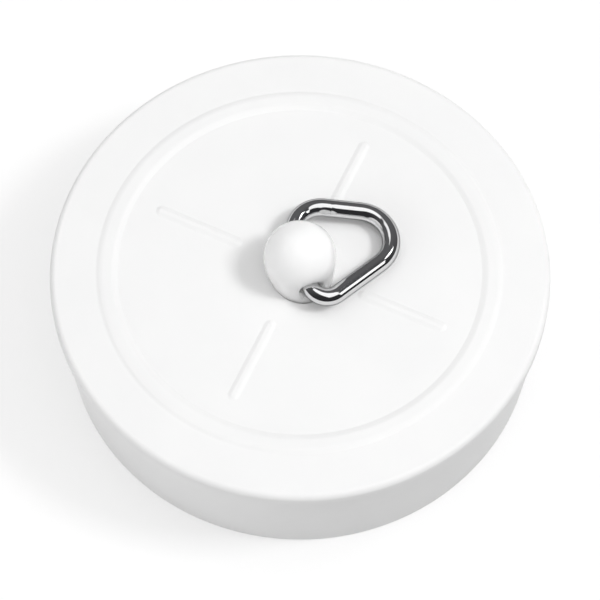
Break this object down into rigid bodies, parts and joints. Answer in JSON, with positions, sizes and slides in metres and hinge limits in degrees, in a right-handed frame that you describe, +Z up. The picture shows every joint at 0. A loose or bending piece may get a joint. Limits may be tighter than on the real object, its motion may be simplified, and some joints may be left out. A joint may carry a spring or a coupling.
{
  "type": "drain stopper",
  "caption": "Round moulded sink plug with a lipped rim, tapered seat, raised bead and ribs, and a ball knob that carries a swinging wire pull ring.",
  "frame": {"origin": "centre of the plug's bottom edge, on the surface it stands on", "axes": "+Z up out of the drain along the plug's axis, +Y along the eye of the knob, +X towards the side on which the ring lies"},
  "size_m": [0.07, 0.07, 0.0273],
  "materials": {
    "white_moulding": "satin",
    "white_gloss": "gloss",
    "bright_wire": "polished"
  },
  "bodies": {
    "plug": {"plug_body": "white_moulding", "pull_knob": "white_gloss"},
    "ring": {"pull_ring": "bright_wire"}
  },
  "joints": [
    {"name": "ring_swing", "type": "hinge", "parent": "plug", "child": "ring", "pos_m": [0.00031, 0, 0.02135], "axis": [0, -1, 0], "range_deg": [0, 189]}
  ]
}
